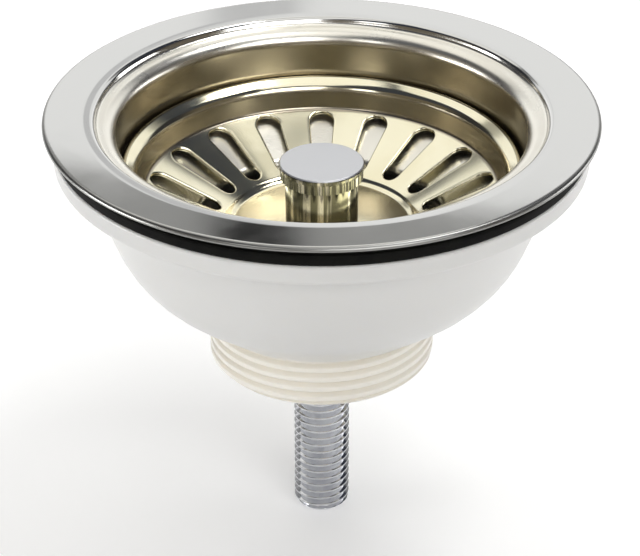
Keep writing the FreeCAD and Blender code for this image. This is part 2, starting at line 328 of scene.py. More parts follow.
def smooth_finish(piece: Piece) -> None:
    """Close the seams of a piece's mesh, turn its faces outwards and smooth all but its creases.

    Args:
        piece: The piece.
    """
    sketch = bmesh.new()
    sketch.from_mesh(piece.data)
    bmesh.ops.remove_doubles(sketch, verts=sketch.verts, dist=WELD)
    bmesh.ops.dissolve_degenerate(sketch, edges=sketch.edges, dist=WELD)
    bmesh.ops.recalc_face_normals(sketch, faces=sketch.faces)
    sketch.to_mesh(piece.data)
    sketch.free()
    piece.data.shade_smooth()
    piece.data.set_sharp_from_angle(angle=CREASE_ANGLE)


def turned_piece(name: str, corners: Sequence[Corner], segments: int = SEGMENTS) -> Piece:
    """Make a solid of revolution.

    Args:
        name: The piece's name.
        corners: The closed profile.
        segments: Steps round the axis.

    Returns:
        The piece, not yet smoothed.
    """
    draft = Draft()
    samples = [sample for group in trace(corners, closed=True) for sample in group]
    rows = draft.turn(samples, even_angles(segments) + [math.tau])
    for near, far in zip(rows, rows[1:] + rows[:1]):
        draft.bridge(near, far, closed=False)
    return draft.piece(name)


def box_piece(name: str, low: Sequence[float], high: Sequence[float], bevel: float = 0.0) -> Piece:
    """Make a box.

    Args:
        name: The piece's name.
        low: The lowest corner.
        high: The highest corner.
        bevel: The rounding of the edges.

    Returns:
        The piece, not yet smoothed.
    """
    sketch = bmesh.new()
    bmesh.ops.create_cube(sketch, size=1.0)
    for vert in sketch.verts:
        vert.co = [start + (part + 1 / 2) * (end - start) for start, end, part in zip(low, high, vert.co)]
    if bevel:
        bmesh.ops.bevel(sketch, geom=sketch.edges, offset=bevel, segments=BEVEL_STEPS, affect="EDGES",
                        profile=BEVEL_PROFILE)
    mesh = bpy.data.meshes.new(name)
    sketch.to_mesh(mesh)
    sketch.free()
    return new_object(name, mesh)


@dataclass(frozen=True)
class TaperedSlot:
    """Slot along a radius, wider at its outer end, with round ends."""

    outer_radius: float
    inner_radius: float
    outer_width: float
    inner_width: float

    def outline(self, grow: float, end_steps: int, side_steps: int) -> list[Vector]:
        """Trace the slot in plan.

        Args:
            grow: How far outside the slot the line runs.
            end_steps: Steps in each end.
            side_steps: Steps in each side.

        Returns:
            The points of the outer end, one side, the inner end and the other side.
        """
        outer_half, inner_half = self.outer_width / 2, self.inner_width / 2
        outer = Vector((self.outer_radius - outer_half, 0))
        inner = Vector((self.inner_radius + inner_half, 0))
        swing = [math.pi * (step / end_steps - 1 / 2) for step in range(end_steps + 1)]
        outer_end = [outer + Vector((math.cos(a), math.sin(a))) * (outer_half + grow) for a in swing]
        inner_end = [inner + Vector((-math.cos(a), -math.sin(a))) * (inner_half + grow) for a in swing]
        shares = [step / side_steps for step in range(1, side_steps)]
        side = [outer_end[-1].lerp(inner_end[0], share) for share in shares]
        other = [inner_end[-1].lerp(outer_end[0], share) for share in shares]
        return outer_end + side + inner_end + other


@dataclass(frozen=True)
class KidneySlot:
    """Curved slot about the axis, with round ends."""

    outer_radius: float
    inner_radius: float
    half_span: float

    def outline(self, grow: float, end_steps: int, side_steps: int) -> list[Vector]:
        """Trace the slot in plan.

        Args:
            grow: How far outside the slot the line runs.
            end_steps: Steps in each long side.
            side_steps: Steps in each round end.

        Returns:
            The points of the outer side, one end, the inner side and the other end.
        """
        middle = (self.outer_radius + self.inner_radius) / 2
        reach = (self.outer_radius - self.inner_radius) / 2 + grow
        swing = [self.half_span * (2 * step / end_steps - 1) for step in range(end_steps + 1)]
        outer_side = [around(middle + reach, angle, 0).xy for angle in swing]
        inner_side = [around(middle - reach, -angle, 0).xy for angle in swing]
        end, other = [], []
        for step in range(1, side_steps):
            lean = math.pi * step / side_steps
            end.append(around(middle, self.half_span, 0).xy + around(reach, self.half_span + lean, 0).xy)
            lean += math.pi
            other.append(around(middle, -self.half_span, 0).xy + around(reach, lean - self.half_span, 0).xy)
        return outer_side + end + inner_side + other


@dataclass(frozen=True)
class ConeFace:
    """Cone between two samples of a profile."""

    outer: Sample
    inner: Sample

    def lifted(self, plan: Iterable[Vector], rise: float = 0.0) -> list[Vector]:
        """Lift the points of a plan to the cone, or to a rise above it.

        Args:
            plan: The points in plan.
            rise: How far above the cone they go.

        Returns:
            The points in space.
        """
        slope = (self.outer.height - self.inner.height) / (self.outer.radius - self.inner.radius)
        base = self.inner.height + rise
        return [Vector((*spot, base + (spot.length - self.inner.radius) * slope)) for spot in plan]


@dataclass
class PressedSheet:
    """Sheet of even gauge pressed to a turned form, with a slot in each of its equal sectors.

    The corners run along its upper face, with the gauge below. The slots are in one leg of that path.
    """

    corners: list[Corner]
    gauge: float
    count: int
    slot: TaperedSlot | KidneySlot
    slot_leg: int
    slot_edge: float
    outer_edge: float
    inner_edge: float
    side_steps: int = 24
    land_steps: int = 6
    edge_steps: int = 4

    def edge(self, sample: Sample, outwards: Vector, rounding: float) -> list[Sample]:
        """Trace the sheet's rounded edge, from its upper face to its lower one.

        Args:
            sample: The end of the upper face.
            outwards: Heading away from the sheet.
            rounding: The rounding of the upper arris, which is how far the edge stands out.

        Returns:
            The samples between the two faces.
        """
        under = min(rounding, self.gauge - rounding)
        turns = even_angles(self.edge_steps, math.pi / 2) + [math.pi / 2]
        spots = [(rounding * math.sin(turn), rounding * (1 - math.cos(turn))) for turn in turns[1:]]
        spots += [(rounding - under * (1 - math.cos(turn)), self.gauge - under * (1 - math.sin(turn)))
                  for turn in turns]
        made = []
        for reach, depth in spots:
            across = sample.moved(depth)
            made.append(Sample(across.radius + outwards.x * reach, across.height + outwards.y * reach, sample.normal))
        return made

    def cell(self, draft: Draft, rows: dict[str, list[int]], faces: dict[str, ConeFace]) -> None:
        """Fill the leg that carries a sector's slot, on both faces, and line the slot.

        Args:
            draft: The mesh in the making.
            rows: Point numbers of the leg's ends, upper_outer, upper_inner, lower_outer and lower_inner.
            faces: The leg's upper and lower face.
        """
        steps = len(rows["upper_outer"]) - 1
        half = math.pi / self.count
        rings = []
        for side, face in faces.items():
            width = face.inner.radius - face.outer.radius
            radii = [face.outer.radius + width * step / self.side_steps for step in range(1, self.side_steps)]
            right, left = [draft.row(face.lifted(around(radius, angle, 0).xy for radius in radii))
                           for angle in (half, -half)]
            border = rows[side + "_outer"] + right + rows[side + "_inner"][::-1] + left[::-1]
            lip = self.slot.outline(self.slot_edge, steps, self.side_steps)
            loops = [border]
            for step in range(1, self.land_steps + 1):
                share = step / self.land_steps
                plan = [draft.points[number].xy.lerp(spot, share) for number, spot in zip(border, lip)]
                loops.append(draft.row(face.lifted(plan)))
            for step in range(1, self.edge_steps + 1):
                angle = math.pi / 2 * step / self.edge_steps
                rise = self.slot_edge * (1 - math.cos(angle)) * (-1 if side == "upper" else 1)
                plan = self.slot.outline(self.slot_edge * (1 - math.sin(angle)), steps, self.side_steps)
                loops.append(draft.row(face.lifted(plan, rise)))
            for near, far in zip(loops, loops[1:]):
                draft.bridge(near, far, closed=True)
            rings.append(loops[-1])
        draft.bridge(*rings, closed=True)

    def sector(self, name: str) -> Piece:
        """Make one sector of the sheet, with its slot across the X axis.

        Args:
            name: The piece's name.

        Returns:
            The sector.
        """
        groups = trace(self.corners, closed=False)
        upper = [sample for group in groups for sample in group]
        lower = [sample.moved(self.gauge) for sample in upper]
        gap = sum(len(group) for group in groups[:self.slot_leg + 1]) - 2
        first, last = upper[0], upper[-1]
        start_edge = self.edge(first, left_of(first.normal), self.outer_edge)
        end_edge = self.edge(last, -left_of(last.normal), self.inner_edge)
        loop = upper + end_edge + lower[::-1] + start_edge[::-1]
        steps = SEGMENTS // self.count
        half = math.pi / self.count
        draft = Draft()
        rows = draft.turn(loop, even_angles(steps, 2 * half, -half) + [half])
        lower_gap = 2 * len(upper) + len(end_edge) - 2 - gap
        for index, (near, far) in enumerate(zip(rows, rows[1:] + rows[:1])):
            if index not in (gap, lower_gap):
                draft.bridge(near, far, closed=False)
        self.cell(draft, {"upper_outer": rows[gap], "upper_inner": rows[gap + 1],
                          "lower_outer": rows[lower_gap + 1], "lower_inner": rows[lower_gap]},
                  {"upper": ConeFace(upper[gap], upper[gap + 1]), "lower": ConeFace(lower[gap], lower[gap + 1])})
        return draft.piece(name)


class NodeSketch:
    """Adds nodes to a tree and links their sockets."""

    def __init__(self, tree: bpy.types.NodeTree) -> None:
        """Keep the tree that the nodes go in."""
        self.tree = tree

    @classmethod
    def afresh(cls, owner: bpy.types.Material | bpy.types.World) -> "NodeSketch":
        """Empty the node tree of a material or a world, and start a sketch of it.

        Args:
            owner: The material or the world.

        Returns:
            The sketch.
        """
        owner.use_nodes = True
        owner.node_tree.nodes.clear()
        return cls(owner.node_tree)

    def node(self, kind: str, inputs: dict | None = None, **settings: object) -> bpy.types.Node:
        """Add a node.

        Args:
            kind: The node's type.
            inputs: For each input, by name or number, a socket to link or a value to set.
            settings: The node's own properties.

        Returns:
            The node.
        """
        made = self.tree.nodes.new(kind)
        for key, value in settings.items():
            setattr(made, key, value)
        for key, value in (inputs or {}).items():
            if isinstance(value, Socket):
                self.tree.links.new(value, made.inputs[key])
            else:
                made.inputs[key].default_value = value
        return made

    def math(self, operation: str, *values: object) -> Socket:
        """Add a Math node and return its result."""
        return self.node("ShaderNodeMath", dict(enumerate(values)), operation=operation).outputs[0]

    def ramp(self, value: object, low: object, high: object, start: object = 0.0, end: object = 1.0,
             kind: str = "SMOOTHSTEP") -> Socket:
        """Add a Map Range node, from start at low to end at high, and return its result."""
        return self.node("ShaderNodeMapRange", {"Value": value, "From Min": low, "From Max": high, "To Min": start,
                                                "To Max": end}, interpolation_type=kind).outputs[0]

    def vector(self, operation: str, *values: object) -> Socket:
        """Add a Vector Math node and return its result."""
        made = self.node("ShaderNodeVectorMath", dict(enumerate(values)), operation=operation)
        return made.outputs["Value" if operation == "LENGTH" else "Vector"]

    def mix(self, share: Socket, first: Colour | Socket, second: Colour | Socket) -> Socket:
        """Mix two colours.

        Args:
            share: How much of the second there is.
            first: A colour, or a socket.
            second: A colour, or a socket.

        Returns:
            The mixed colour.
        """
        colours = [value if isinstance(value, Socket) else (*value, 1.0) for value in (first, second)]
        inputs = dict(zip(MIX_INPUTS, (share, *colours)))
        return self.node("ShaderNodeMix", inputs, data_type="RGBA").outputs[MIX_RESULT]

    def place(self) -> Socket:
        """Return the place on the object."""
        return self.node("ShaderNodeTexCoord").outputs["Object"]

    def axes(self, point: Socket) -> dict[str, Socket]:
        """Return the coordinates of a point by their names."""
        return dict(zip("XYZ", self.node("ShaderNodeSeparateXYZ", {0: point}).outputs))

    def radius(self, point: Socket) -> Socket:
        """Return the distance of a point from the axis."""
        return self.vector("LENGTH", self.vector("MULTIPLY", point, (1.0, 1.0, 0.0)))


class GeometryTree:
    """Node tree that makes or shapes a mesh from named sizes."""

    inputs: dict[str, str] = {}

    def __init__(self, name: str) -> None:
        """Build the tree.

        Args:
            name: The tree's name.
        """
        self.tree = bpy.data.node_groups.new(name, "GeometryNodeTree")
        sockets = self.tree.interface
        sockets.new_socket(name="Geometry", in_out="INPUT", socket_type="NodeSocketGeometry")
        self.identifiers = {}
        for label, kind in {**self.inputs, "Material": "NodeSocketMaterial"}.items():
            self.identifiers[label] = sockets.new_socket(name=label, in_out="INPUT", socket_type=kind).identifier
        sockets.new_socket(name="Geometry", in_out="OUTPUT", socket_type="NodeSocketGeometry")
        self.sketch = NodeSketch(self.tree)
        self.given = self.sketch.node("NodeGroupInput").outputs
        real = self.sketch.node("GeometryNodeRealizeInstances", {0: self.shape()}).outputs[0]
        dressed = self.sketch.node("GeometryNodeSetMaterial", {"Geometry": self.weld(real),
                                                               "Material": self.given["Material"]})
        self.sketch.node("NodeGroupOutput", {"Geometry": dressed.outputs[0]})

    def shape(self) -> Socket:
        """Add the nodes that make the shape and return its geometry."""
        raise NotImplementedError

    def weld(self, geometry: Socket) -> Socket:
        """Merge the points where the shape's parts meet."""
        return self.sketch.node("GeometryNodeMergeByDistance", {"Geometry": geometry, "Distance": WELD}).outputs[0]

    def run(self, piece: Piece, material: bpy.types.Material, **sizes: float) -> Piece:
        """Shape a piece and keep the result as its plain mesh.

        Args:
            piece: The piece.
            material: Its material.
            sizes: The tree's inputs, with their names in lower case and joined by underscores.

        Returns:
            The piece.
        """
        modifier = piece.modifiers.new(self.tree.name, "NODES")
        modifier.node_group = self.tree
        for label, identifier in self.identifiers.items():
            modifier[identifier] = material if label == "Material" else sizes[label.lower().replace(" ", "_")]
        return apply_modifier(piece, modifier)


class RingArray(GeometryTree):
    """Repeats a sector round the axis."""

    inputs = {"Count": "NodeSocketInt", "First Angle": "NodeSocketFloat"}

    def shape(self) -> Socket:
        """Set one turned copy of the sector for each step round the axis.

        Returns:
            The geometry.
        """
        count = self.given["Count"]
        index = self.sketch.node("GeometryNodeInputIndex").outputs[0]
        step = self.sketch.math("MULTIPLY", index, self.sketch.math("DIVIDE", math.tau, count))
        angle = self.sketch.math("ADD", step, self.given["First Angle"])
        euler = self.sketch.node("ShaderNodeCombineXYZ", {"Z": angle}).outputs[0]
        rotation = self.sketch.node("FunctionNodeEulerToRotation", {0: euler}).outputs[0]
        points = self.sketch.node("GeometryNodePoints", {"Count": count}).outputs[0]
        return self.sketch.node("GeometryNodeInstanceOnPoints", {
            "Points": points, "Instance": self.given["Geometry"], "Rotation": rotation}).outputs[0]


class RidgeForm(Enum):
    """Form of the flanks between a ridge's crest and its root."""

    ROUNDED = "SMOOTHSTEP"
    STRAIGHT = "LINEAR"


class Ridges(GeometryTree):
    """Cuts a screw's thread, or flutes where it has no pitch, into the outside of a turned piece."""

    inputs = dict.fromkeys(("Starts", "Turns Per Metre", "Crest Radius", "Depth", "Crest Share", "Root Share", "Low",
                            "High", "Fade", "Core Radius"), "NodeSocketFloat")

    def __init__(self, name: str, form: RidgeForm) -> None:
        """Build the tree, with one form of the ridges' flanks."""
        self.form = form
        super().__init__(name)

    def shape(self) -> Socket:
        """Draw in each point between the core and the crests to the ridges' surface.

        Returns:
            The geometry.
        """
        sketch, given, calc = self.sketch, self.given, self.sketch.math
        position = sketch.node("GeometryNodeInputPosition").outputs[0]
        axes = sketch.axes(position)
        radius = sketch.radius(position)
        low, high, fade, crest = given["Low"], given["High"], given["Fade"], given["Crest Radius"]
        turns = calc("DIVIDE", calc("ARCTAN2", axes["Y"], axes["X"]), math.tau)
        climb = calc("MULTIPLY", axes["Z"], given["Turns Per Metre"])
        phase = calc("FRACT", calc("SUBTRACT", climb, calc("MULTIPLY", turns, given["Starts"])))
        wave = calc("ABSOLUTE", calc("SUBTRACT", calc("MULTIPLY", phase, 2.0), 1.0))
        shoulder = calc("SUBTRACT", 1.0, given["Crest Share"])
        groove = sketch.ramp(wave, given["Root Share"], shoulder, 1.0, 0.0, self.form.value)
        foot = sketch.ramp(axes["Z"], low, calc("ADD", low, fade))
        head = sketch.ramp(axes["Z"], calc("SUBTRACT", high, fade), high, 1.0, 0.0)
        depth = calc("MULTIPLY", calc("MULTIPLY", foot, head), calc("MULTIPLY", groove, given["Depth"]))
        reach = calc("MINIMUM", radius, calc("SUBTRACT", crest, depth))
        share = calc("DIVIDE", reach, radius)
        scale = sketch.node("ShaderNodeCombineXYZ", {"X": share, "Y": share, "Z": 1.0}).outputs[0]
        moved = sketch.vector("MULTIPLY", position, scale)
        middle = calc("DIVIDE", calc("ADD", given["Core Radius"], crest), 2.0)
        margin = calc("SUBTRACT", calc("ADD", crest, WELD), middle)
        shell = sketch.node("FunctionNodeCompare", {0: radius, 1: middle, "Epsilon": margin}, operation="EQUAL")
        return sketch.node("GeometryNodeSetPosition", {"Geometry": given["Geometry"], "Selection": shell.outputs[0],
                                                       "Position": moved}).outputs[0]


class SurfaceEffects:
    """Shader groups that several finishes share."""

    line_rise: float = 0.7
    line_noise: dict[str, float] = {"Detail": 3.0, "Roughness": 0.7}
    mark_noise: dict[str, float] = {"Detail": 4.0, "Roughness": 0.6, "Distortion": 0.6}
    mark_span: Span = (0.3, 0.7)

    def __init__(self) -> None:
        """Build each group once."""
        self.lines = self.turned_lines()
        self.marks = self.cloudy_marks()

    @staticmethod
    def group(name: str, value: str, result: str) -> tuple[bpy.types.NodeTree, NodeSketch, Socket]:
        """Start a shader group.

        Args:
            name: The group's name.
            value: The name of its input.
            result: The name of its output.

        Returns:
            The group, a sketch of it and its input.
        """
        tree = bpy.data.node_groups.new(name, "ShaderNodeTree")
        tree.interface.new_socket(name=value, in_out="INPUT", socket_type="NodeSocketFloat")
        tree.interface.new_socket(name=result, in_out="OUTPUT", socket_type="NodeSocketFloat")
        sketch = NodeSketch(tree)
        return tree, sketch, sketch.node("NodeGroupInput").outputs[value]

    def turned_lines(self) -> bpy.types.NodeTree:
        """Build fine rings about the axis, as a lathe or a press leaves them.

        Returns:
            The group.
        """
        tree, sketch, density = self.group("turned_lines", "Density", "Lines")
        place = sketch.place()
        rise = sketch.math("MULTIPLY", sketch.axes(place)["Z"], self.line_rise)
        along = sketch.math("ADD", sketch.radius(place), rise)
        noise = sketch.node("ShaderNodeTexNoise", {"W": along, "Scale": density, **self.line_noise},
                            noise_dimensions="1D")
        sketch.node("NodeGroupOutput", {"Lines": noise.outputs[0]})
        return tree

    def cloudy_marks(self) -> bpy.types.NodeTree:
        """Build soft uneven marks, as handling and water leave them.

        Returns:
            The group.
        """
        tree, sketch, scale = self.group("cloudy_marks", "Scale", "Marks")
        noise = sketch.node("ShaderNodeTexNoise", {"Vector": sketch.place(), "Scale": scale, **self.mark_noise})
        sketch.node("NodeGroupOutput", {"Marks": sketch.ramp(noise.outputs[0], *self.mark_span)})
        return tree


@dataclass(frozen=True)
class Zone:
    """Part of a surface with a look of its own, which starts and is full at a span of radii and one of heights."""

    colour: Colour
    rougher: float = 0.0
    radii: Span = EVERYWHERE
    heights: Span = EVERYWHERE

    def share(self, sketch: NodeSketch, place: Socket) -> Socket:
        """Return how far a place lies in the zone."""
        across = sketch.ramp(sketch.radius(place), *self.radii)
        return sketch.math("MULTIPLY", across, sketch.ramp(sketch.axes(place)["Z"], *self.heights))


@dataclass(frozen=True)
class Finish:
    """A surface: the record's slot for it, its colours, its gloss, the marks on it and its zones."""

    name: str
    slot: str
    colour: Colour
    mark_colour: Colour
    roughness: float
    constants: dict[str, object]
    mark_scale: float = 60.0
    mark_roughness: float = 0.05
    line_density: float = 9000.0
    line_roughness: float = 0.04
    line_depth: float = 0.4 * MICRON
    wave_scale: float = 45.0
    wave_depth: float = 10 * MICRON
    zones: tuple[Zone, ...] = ()

    def tint(self, sketch: NodeSketch, place: Socket, colour: Socket) -> Socket:
        """Return the colour with the finish's pattern, where it has one; the streaked knob's pattern is partly
        painted reflection.
        """
        return colour

    def material(self, effects: SurfaceEffects) -> bpy.types.Material:
        """Build the material.

        Args:
            effects: The shared shader groups.

        Returns:
            The material.
        """
        made = bpy.data.materials.new(self.name)
        sketch = NodeSketch.afresh(made)
        place = sketch.place()
        lines = self.placed(sketch, effects.lines, "Density", self.line_density)
        marks = self.placed(sketch, effects.marks, "Scale", self.mark_scale)
        colour = self.tint(sketch, place, sketch.mix(marks, self.colour, self.mark_colour))
        roughness = self.roughness
        for pattern, strength in ((lines, self.line_roughness), (marks, self.mark_roughness)):
            change = sketch.math("MULTIPLY", sketch.math("SUBTRACT", pattern, 0.5), 2 * strength)
            roughness = sketch.math("ADD", change, roughness)
        for zone in self.zones:
            share = zone.share(sketch, place)
            colour = sketch.mix(share, colour, zone.colour)
            roughness = sketch.math("ADD", sketch.math("MULTIPLY", share, zone.rougher), roughness)
        waves = sketch.node("ShaderNodeTexNoise", {"Vector": place, "Scale": self.wave_scale, "Detail": 0.0})
        swell = sketch.node("ShaderNodeBump", {"Height": waves.outputs[0], "Distance": self.wave_depth,
                                               "Strength": 1.0})
        bump = sketch.node("ShaderNodeBump", {"Height": lines, "Distance": self.line_depth, "Strength": 1.0,
                                              "Normal": swell.outputs[0]})
        shader = sketch.node("ShaderNodeBsdfPrincipled", {"Base Color": colour, "Roughness": roughness,
                                                          "Normal": bump.outputs[0], **self.constants})
        sketch.node("ShaderNodeOutputMaterial", {"Surface": shader.outputs[0]})
        return made

    @staticmethod
    def placed(sketch: NodeSketch, tree: bpy.types.NodeTree, label: str, value: float) -> Socket:
        """Place a shader group and set its input.

        Args:
            sketch: The material's tree.
            tree: The group.
            label: The input's name.
            value: The input's value.

        Returns:
            Its result.
        """
        made = sketch.node("ShaderNodeGroup", node_tree=tree)
        made.inputs[label].default_value = value
        return made.outputs[0]


@dataclass(frozen=True)
class StreakAndReflectionFinish(Finish):
    """Bar with dark streaks along its sides: partly the marks of drawing, partly painted dark reflection."""

    streak_and_reflection_colour: Colour = (0.17, 0.165, 0.115)
    streak_scale: float = 700.0
    streak_stretch: float = 0.04
    streak_detail: float = 2.0
    streak_span: Span = (0.66, 0.5)

    def tint(self, sketch: NodeSketch, place: Socket, colour: Socket) -> Socket:
        """Return the colour with dark streaks, partly painted reflection.

        Args:
            sketch: The material's tree.
            place: The place on the object.
            colour: The colour without streaks.

        Returns:
            The colour with them.
        """
        # Painted dark reflection, partly drawing marks: noise stretched along the axis mixes in the dark streak
        # colour.
        stretched_place = sketch.vector("MULTIPLY", place, (1.0, 1.0, self.streak_stretch))
        noise = sketch.node("ShaderNodeTexNoise", {"Vector": stretched_place, "Scale": self.streak_scale,
                                                   "Detail": self.streak_detail})
        return sketch.mix(sketch.ramp(noise.outputs[0], *self.streak_span), colour, self.streak_and_reflection_colour)


METAL = {"Metallic": 1.0}
FAINT_SHEEN = {"Specular IOR Level": 0.06}
MILKY = {"Subsurface Weight": 0.15, "Subsurface Radius": (1.0, 0.9, 0.75), "Subsurface Scale": 1.2 * MM}

# Painted shade and reflection: the dish's steel wall below the lip is painted a darker brown, where it mirrors the
# dim, warm room. It is also a little smoother.
DISH_WALL_PAINTED_SHADE = Zone((0.43, 0.385, 0.305), -0.05, (40.6 * MM, 41.2 * MM), (-2.2 * MM, -3.4 * MM))
FLANGE_FACE = Zone((0.66, 0.66, 0.65), -0.19, (45.7 * MM, 46.7 * MM))
# Painted shade: the flange's rounded outer edge is painted darker, which dims its reflection. It is also rougher.
FLANGE_EDGE_PAINTED_SHADE = Zone((0.30, 0.30, 0.29), 0.21, (56.1 * MM, 56.6 * MM))
# Painted shade and reflection: the basket's wall below its rim is painted the same darker brown, where it mirrors the
# dim room. It is also rougher.
BASKET_WALL_PAINTED_SHADE = Zone((0.43, 0.385, 0.305), 0.10, (36.3 * MM, 36.9 * MM), (-11.8 * MM, -13.0 * MM))
KNOB_TOP = Zone((0.70, 0.71, 0.74), 0.28, heights=(-11.0 * MM, -10.9 * MM))
# Partly painted light: the threaded outlet is painted lighter than the bowl, standing in for light that its lower
# part lacks. Partly it is its cream tint.
CREAM_OUTLET_AND_PAINTED_LIGHT = Zone((0.90, 0.87, 0.80), heights=(-41.0 * MM, -46.0 * MM))

DISH_STEEL = Finish("dish_steel", "pressed_steel", (0.88, 0.86, 0.79), (0.85, 0.82, 0.74), 0.28, METAL,
                    mark_roughness=0.02, line_roughness=0.02, line_depth=0.1 * MICRON,
                    zones=(DISH_WALL_PAINTED_SHADE, FLANGE_FACE, FLANGE_EDGE_PAINTED_SHADE))
BASKET_STEEL = Finish("basket_steel", "basket_steel", (0.90, 0.86, 0.67), (0.86, 0.81, 0.60), 0.13, METAL,
                      mark_roughness=0.02, line_roughness=0.02, line_depth=0.1 * MICRON, wave_scale=55.0,
                      wave_depth=250 * MICRON, zones=(BASKET_WALL_PAINTED_SHADE,))
KNOB_STEEL = StreakAndReflectionFinish("knob_steel", "knob_steel", (0.82, 0.79, 0.69), (0.76, 0.72, 0.62), 0.14, METAL,
                            mark_roughness=0.02, line_depth=0.1 * MICRON, zones=(KNOB_TOP,))
ZINC = Finish("zinc_plate", "zinc_steel", (0.66, 0.67, 0.69), (0.58, 0.59, 0.62), 0.11, METAL, mark_scale=400.0)
BRASS = Finish("machined_brass", "brass", (0.72, 0.55, 0.24), (0.66, 0.48, 0.19), 0.22, METAL)
RUBBER = Finish("black_rubber", "black_rubber", (0.004, 0.004, 0.004), (0.008, 0.008, 0.007), 0.55, FAINT_SHEEN,
                mark_scale=250.0, line_depth=4 * MICRON)
PLASTIC = Finish("white_plastic", "white_plastic", (0.75, 0.75, 0.74), (0.74, 0.74, 0.73), 0.30, MILKY,
                 mark_scale=30.0, mark_roughness=0.01, line_density=500.0, line_roughness=0.01,
                 line_depth=0.1 * MICRON, zones=(CREAM_OUTLET_AND_PAINTED_LIGHT,))


class Workshop:
    """What the assemblies share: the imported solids, the materials and the node trees."""

    def __init__(self, nodes: dict[str, Piece]) -> None:
        """Build the materials and the trees.

        Args:
            nodes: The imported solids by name.
        """
        self.nodes = nodes
        effects = SurfaceEffects()
        self.materials = {finish.name: finish.material(effects) for finish in (
            DISH_STEEL, BASKET_STEEL, KNOB_STEEL, ZINC, BRASS, RUBBER, PLASTIC)}
        self.ring_array = RingArray("ring_array")
        self.rounded_ridges = Ridges("rounded_ridges", RidgeForm.ROUNDED)
        self.straight_ridges = Ridges("straight_ridges", RidgeForm.STRAIGHT)

    def shape(self, tree: GeometryTree, piece: Piece, finish: Finish, **sizes: float) -> Piece:
        """Run a node tree on a piece, with the finish's material, and return the piece."""
        return tree.run(piece, self.materials[finish.name], **sizes)

    def finish(self, piece: Piece, finish: Finish, body: str, *nodes: str) -> None:
        """Smooth a piece, give it one material and tie it to its body.

        Args:
            piece: The piece.
            finish: Its finish.
            body: The body that it moves with.
            nodes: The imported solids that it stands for.
        """
        piece.data.materials.clear()
        piece.data.materials.append(self.materials[finish.name])
        smooth_finish(piece)
        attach(piece, body)
        if nodes:
            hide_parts(*nodes)
        LOG.info("%s rides on %s with %d faces", piece.name, body, len(piece.data.polygons))

    def washer(self, name: str, finish: Finish, body: str, node: str, inner: float, rounding: float,
               clear: float = 0.0) -> None:
        """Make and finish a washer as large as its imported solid.

        Args:
            name: The piece's name.
            finish: Its finish.
            body: The body that it moves with.
            node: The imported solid.
            inner: The radius of its hole.
            rounding: The rounding of its outer edges.
            clear: How far it stays clear of what it lies on, where it turns on that.
        """
        low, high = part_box(node)
        self.finish(turned_piece(name, [
            Corner(inner, low.z + clear), Corner(high.x, low.z + clear, rounding),
            Corner(high.x, high.z, rounding), Corner(inner, high.z)]), finish, body, node)

    def finish_solid(self, node: str, finish: Finish) -> None:
        """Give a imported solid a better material."""
        for slot in self.nodes[node].material_slots:
            slot.material = self.materials[finish.name]


@dataclass
class FitSizes:
    """Sizes that the dish and the basket share."""

    dish_radius: float = 42.0 * MM
    basket_gauge: float = 0.8 * MM
    dish_gap: float = 1.2 * MM
    fold_radius: float = 37.2 * MM
    fold_height: float = -16.9 * MM
    ring_radius: float = 20.2 * MM
    ring_height: float = -24.1 * MM
    floor_height: float = -25.1 * MM

    def dish_height(self, radius: float) -> float:
        """Find the height of the dish's cone at a radius, a gap below the basket's.

        Args:
            radius: The radius.

        Returns:
            The height.
        """
        heading = Vector((self.ring_radius - self.fold_radius, self.ring_height - self.fold_height)).normalized()
        below = left_of(heading) * (self.basket_gauge + self.dish_gap)
        slope = heading.y / heading.x
        return self.fold_height + below.y + (radius - self.fold_radius - below.x) * slope


